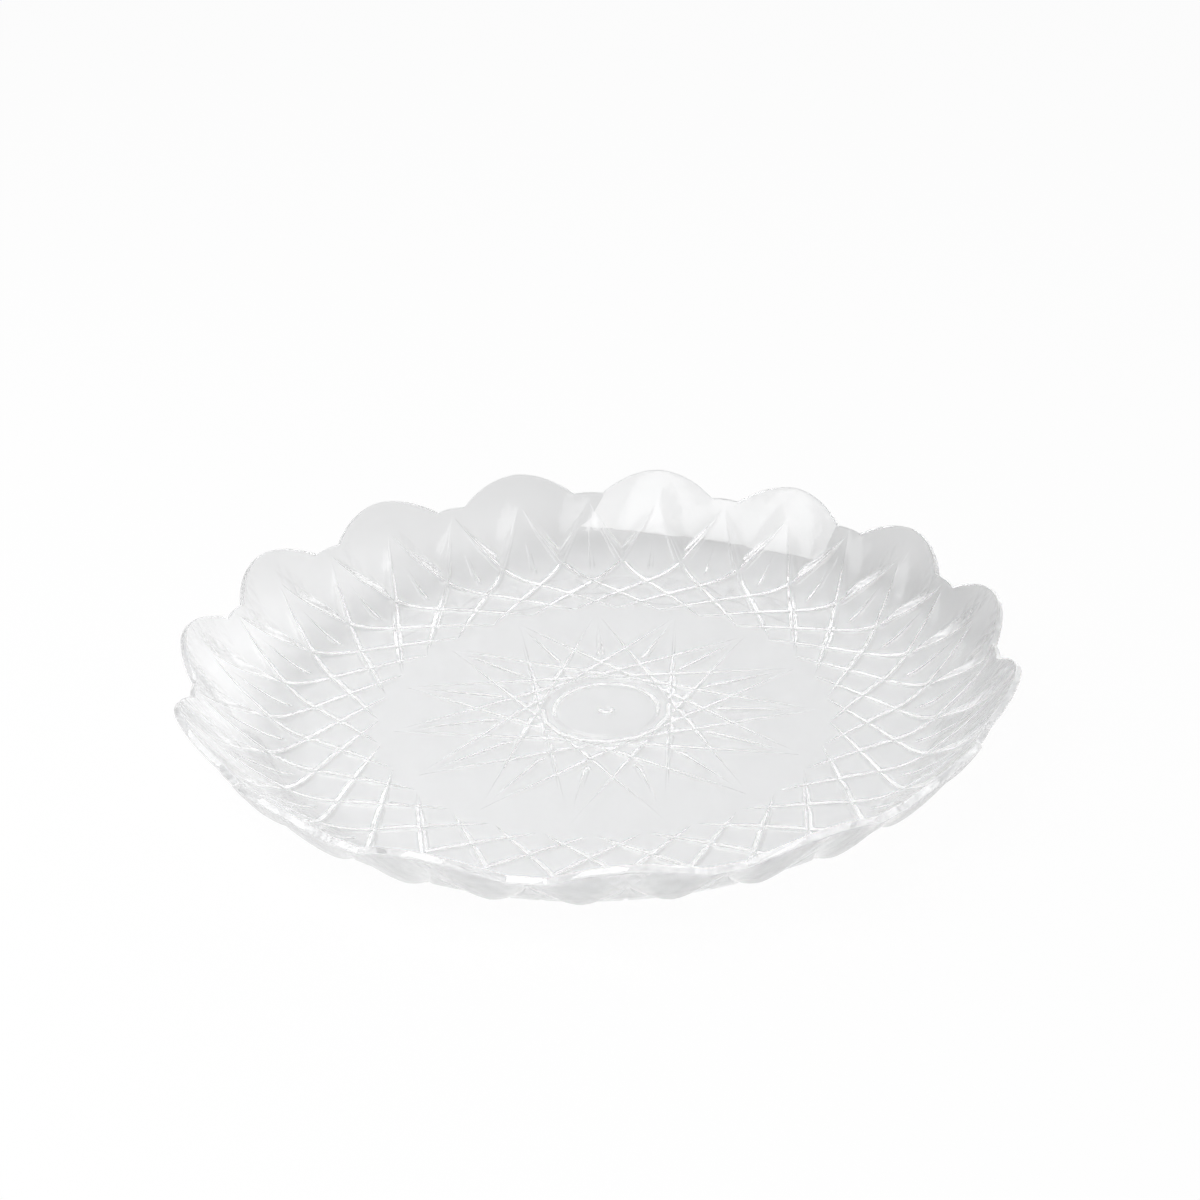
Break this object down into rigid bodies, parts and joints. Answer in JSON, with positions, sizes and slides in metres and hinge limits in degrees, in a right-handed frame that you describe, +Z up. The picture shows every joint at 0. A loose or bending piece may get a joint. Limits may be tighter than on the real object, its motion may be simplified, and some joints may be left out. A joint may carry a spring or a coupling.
{
  "type": "scalloped serving tray",
  "caption": "Shallow round serving tray of clear moulded plastic, with a scalloped rim and a cut-crystal star and lattice on its underside.",
  "frame": {"origin": "on the table, under the middle of the tray", "axes": "+Z up out of the dish, along the axis of the round floor; +Y towards a narrow lobe of the rim"},
  "size_m": [0.3034, 0.3023, 0.0361],
  "materials": {
    "clear_plastic": "clear polished polystyrene"
  },
  "bodies": {
    "root": {"tray": "clear_plastic"}
  },
  "joints": []
}
